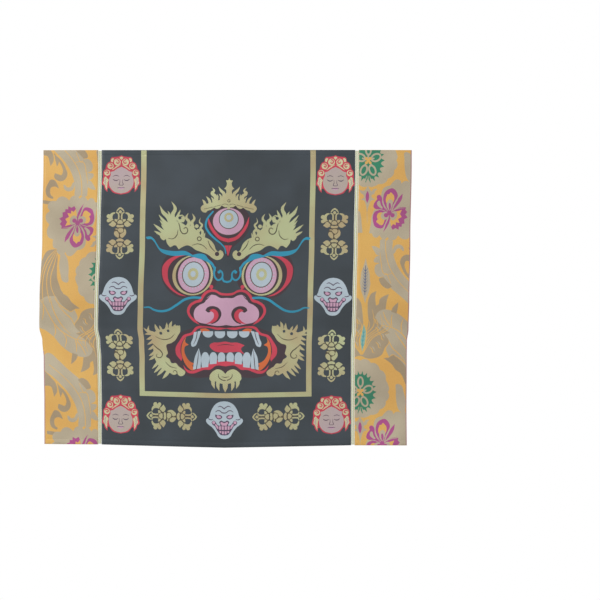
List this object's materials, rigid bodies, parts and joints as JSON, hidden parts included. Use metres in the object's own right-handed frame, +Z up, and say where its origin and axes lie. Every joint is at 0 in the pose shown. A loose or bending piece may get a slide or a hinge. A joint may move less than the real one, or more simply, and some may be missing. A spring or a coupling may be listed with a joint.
{
  "type": "hanging silk brocade banner",
  "caption": "Flat hanging textile banner with a dark centre panel, narrow gold bands along its side seams, yellow side strips and soft storage creases.",
  "frame": {"origin": "middle of the banner's top edge, half way through the hem's thickness", "axes": "+X to the viewer's right along the top edge, +Z up, and the patterned front faces -Y"},
  "size_m": [0.4539, 0.0134, 0.3624],
  "materials": {
    "black_brocade": "fine black silk twill with woven gold and coloured silk figures",
    "gold_band": "pale gold metallic thread, satin",
    "yellow_brocade": "golden yellow silk satin with woven silver-beige and coloured flowers"
  },
  "bodies": {
    "root": {"centre_panel": "black_brocade", "band_left": "gold_band", "band_right": "gold_band", "strip_left": "yellow_brocade", "strip_right": "yellow_brocade"}
  },
  "joints": []
}
